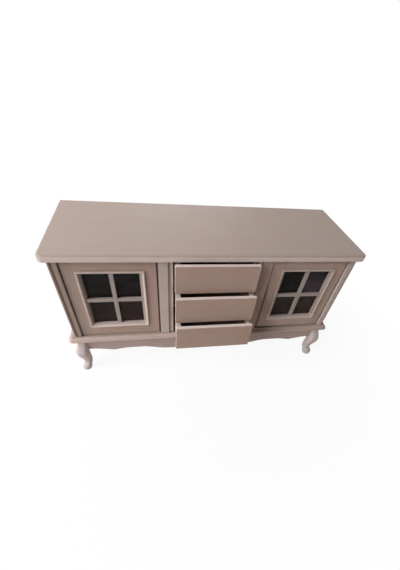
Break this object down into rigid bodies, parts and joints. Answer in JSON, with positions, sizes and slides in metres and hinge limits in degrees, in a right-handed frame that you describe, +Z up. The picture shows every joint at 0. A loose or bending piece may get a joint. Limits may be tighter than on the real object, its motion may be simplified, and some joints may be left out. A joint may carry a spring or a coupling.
{
  "type": "miniature sideboard",
  "caption": "Painted dolls' house sideboard with glazed hinged doors either side of a stack of sliding drawers, on short curved legs with a shaped apron.",
  "frame": {"origin": "on the floor, at the middle of the footprint of the whole piece with its drawers as they stand at rest", "axes": "+X to the viewer's right along the width, +Y to the back, +Z up"},
  "size_m": [0.1518, 0.0624, 0.078],
  "materials": {
    "frame_paint": "satin greige paint on wood",
    "panel_paint": "satin taupe paint on wood",
    "drawer_wood": "pale painted wood",
    "glass": "clear, smooth",
    "hinge_steel": "plain drawn wire"
  },
  "bodies": {
    "carcass": {"top_board": "frame_paint", "base_board": "frame_paint", "side_panel_left": "frame_paint", "side_panel_right": "frame_paint", "partition_left": "frame_paint", "partition_right": "frame_paint", "back_panel": "frame_paint", "outer_stile_left": "frame_paint", "outer_stile_right": "frame_paint", "inner_stile_left": "frame_paint", "inner_stile_right": "frame_paint", "runner_left_upper": "drawer_wood", "runner_left_middle": "drawer_wood", "runner_left_lower": "drawer_wood", "runner_right_upper": "drawer_wood", "runner_right_middle": "drawer_wood", "runner_right_lower": "drawer_wood", "apron_front": "frame_paint", "apron_left": "frame_paint", "apron_right": "frame_paint", "back_rail": "frame_paint", "leg_front_left": "frame_paint", "leg_front_right": "frame_paint", "leg_back_left": "frame_paint", "leg_back_right": "frame_paint"},
    "door_left": {"door_left_outer_stile": "panel_paint", "door_left_inner_stile": "panel_paint", "door_left_top_rail": "panel_paint", "door_left_bottom_rail": "panel_paint", "window_moulding_left": "frame_paint", "glazing_bars_left": "frame_paint", "glass_left": "glass", "hinge_pins_left": "hinge_steel"},
    "door_right": {"door_right_outer_stile": "panel_paint", "door_right_inner_stile": "panel_paint", "door_right_top_rail": "panel_paint", "door_right_bottom_rail": "panel_paint", "window_moulding_right": "frame_paint", "glazing_bars_right": "frame_paint", "glass_right": "glass", "hinge_pins_right": "hinge_steel"},
    "drawer_upper": {"upper_drawer_front": "panel_paint", "upper_drawer_side_left": "drawer_wood", "upper_drawer_side_right": "drawer_wood", "upper_drawer_back": "drawer_wood", "upper_drawer_bottom": "drawer_wood"},
    "drawer_middle": {"middle_drawer_front": "panel_paint", "middle_drawer_side_left": "drawer_wood", "middle_drawer_side_right": "drawer_wood", "middle_drawer_back": "drawer_wood", "middle_drawer_bottom": "drawer_wood"},
    "drawer_lower": {"lower_drawer_front": "panel_paint", "lower_drawer_side_left": "drawer_wood", "lower_drawer_side_right": "drawer_wood", "lower_drawer_back": "drawer_wood", "lower_drawer_bottom": "drawer_wood"}
  },
  "joints": [
    {"name": "left_door_hinge", "type": "hinge", "parent": "carcass", "child": "door_left", "pos_m": [-0.0672, -0.01635, 0.0276], "axis": [0, 0, -1], "range_deg": [0, 95]},
    {"name": "right_door_hinge", "type": "hinge", "parent": "carcass", "child": "door_right", "pos_m": [0.0672, -0.01635, 0.0276], "axis": [0, 0, 1], "range_deg": [0, 95]},
    {"name": "upper_drawer_slide", "type": "slide", "parent": "carcass", "child": "drawer_upper", "axis": [0, -1, 0], "range_m": [-0.0052, 0.0268]},
    {"name": "middle_drawer_slide", "type": "slide", "parent": "carcass", "child": "drawer_middle", "axis": [0, -1, 0], "range_m": [-0.0093, 0.0227]},
    {"name": "lower_drawer_slide", "type": "slide", "parent": "carcass", "child": "drawer_lower", "axis": [0, -1, 0], "range_m": [-0.0133, 0.0187]}
  ]
}
